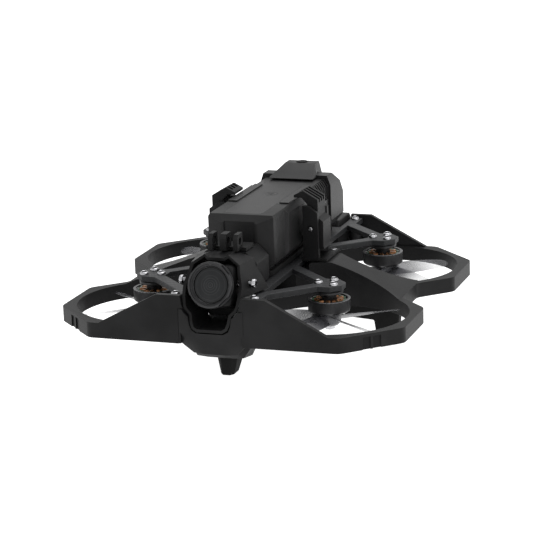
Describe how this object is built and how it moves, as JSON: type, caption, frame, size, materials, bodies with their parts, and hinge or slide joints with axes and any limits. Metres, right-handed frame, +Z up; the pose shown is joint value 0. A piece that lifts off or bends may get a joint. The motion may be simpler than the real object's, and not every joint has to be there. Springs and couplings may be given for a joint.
{
  "type": "fpv racing drone",
  "caption": "Small ducted racing drone with pusher propellers under an arm plate, a tilting nose camera and a battery held by two sprung side latches.",
  "frame": {"origin": "on the ground under the middle of the four motors, at the centre of the bounding box's underside", "axes": "+Z up, nose toward -Y, +X toward the drone's own left"},
  "size_m": [0.155, 0.1601, 0.0702],
  "materials": {
    "shell_black": "fine matte moulded black plastic",
    "battery_black": "matte black plastic shell",
    "rubber_black": "matte soft black",
    "plate_grey": "satin dark grey carbon plate",
    "bell_dark": "satin dark anodised",
    "copper": "enamelled copper windings",
    "steel": "bright screws and pins",
    "blade_smoke": "smoked plastic",
    "board": "circuit board",
    "cell_wrap": "foil pouch",
    "lens_dark": "dark coated glass",
    "plug_yellow": "moulded plug"
  },
  "bodies": {
    "frame": {"arm_plate": "plate_grey", "battery_case": "battery_black", "battery_cell_1": "cell_wrap", "battery_cell_2": "cell_wrap", "battery_cell_3": "cell_wrap", "battery_cell_4": "cell_wrap", "battery_connector": "plug_yellow", "battery_cradle": "rubber_black", "battery_end_cap": "battery_black", "battery_top_plate": "battery_black", "camera_mount_prongs": "shell_black", "chin_guard": "shell_black", "duct_frame_left": "shell_black", "duct_frame_right": "shell_black", "electronics_tray": "shell_black", "flight_controller": "board", "latch_bracket_left": "shell_black", "latch_bracket_right": "shell_black", "latch_pin_left": "steel", "latch_pin_right": "steel", "latch_spring_left": "steel", "latch_spring_right": "steel", "motor_base_front_left": "copper", "motor_base_front_right": "copper", "motor_base_rear_left": "copper", "motor_base_rear_right": "copper", "nose_cover": "shell_black", "nose_foot": "rubber_black", "nose_shroud": "shell_black", "side_leg_left": "rubber_black", "side_leg_right": "rubber_black", "speed_controller": "board", "standoff_1": "steel", "standoff_2": "steel", "standoff_3": "steel", "standoff_4": "steel", "tail_cover": "shell_black", "tail_foot": "rubber_black", "tail_keel": "shell_black", "video_transmitter": "cell_wrap"},
    "camera": {"camera_body": "shell_black", "lens_barrel": "bell_dark", "lens_glass": "lens_dark", "tilt_screw_left": "steel", "tilt_screw_right": "steel"},
    "latch_left": {"latch_lever_left": "shell_black"},
    "latch_right": {"latch_lever_right": "shell_black"},
    "power_button": {"power_button": "rubber_black"},
    "rotor_front_left": {"motor_bell_front_left": "bell_dark", "propeller_front_left": "blade_smoke", "prop_nut_front_left": "steel"},
    "rotor_front_right": {"motor_bell_front_right": "bell_dark", "propeller_front_right": "blade_smoke", "prop_nut_front_right": "steel"},
    "rotor_rear_left": {"motor_bell_rear_left": "bell_dark", "propeller_rear_left": "blade_smoke", "prop_nut_rear_left": "steel"},
    "rotor_rear_right": {"motor_bell_rear_right": "bell_dark", "propeller_rear_right": "blade_smoke", "prop_nut_rear_right": "steel"}
  },
  "joints": [
    {"name": "camera_tilt", "type": "hinge", "parent": "frame", "child": "camera", "pos_m": [0, -0.0678, 0.0429], "axis": [-1, 0, 0], "range_deg": [-17, 13]},
    {"name": "latch_left_open", "type": "hinge", "parent": "frame", "child": "latch_left", "pos_m": [0.0219, 0, 0.0523], "axis": [0, 1, 0], "range_deg": [0, 15], "stiffness_Nm_per_rad": 0.02, "springref_deg": -20.05},
    {"name": "latch_right_open", "type": "hinge", "parent": "frame", "child": "latch_right", "pos_m": [-0.0219, 0, 0.0523], "axis": [0, -1, 0], "range_deg": [0, 15], "stiffness_Nm_per_rad": 0.02, "springref_deg": -20.05},
    {"name": "rotor_front_left_spin", "type": "hinge", "parent": "frame", "child": "rotor_front_left", "pos_m": [0.04, -0.041, 0.031], "axis": [0, 0, 1], "continuous": true},
    {"name": "rotor_front_right_spin", "type": "hinge", "parent": "frame", "child": "rotor_front_right", "pos_m": [-0.04, -0.041, 0.031], "axis": [0, 0, 1], "continuous": true},
    {"name": "rotor_rear_left_spin", "type": "hinge", "parent": "frame", "child": "rotor_rear_left", "pos_m": [0.04, 0.041, 0.031], "axis": [0, 0, 1], "continuous": true},
    {"name": "rotor_rear_right_spin", "type": "hinge", "parent": "frame", "child": "rotor_rear_right", "pos_m": [-0.04, 0.041, 0.031], "axis": [0, 0, 1], "continuous": true},
    {"name": "power_button_press", "type": "slide", "parent": "frame", "child": "power_button", "axis": [0, 0, -1], "range_m": [0, 0.0006], "stiffness_N_per_m": 500, "springref_m": -0.001}
  ]
}
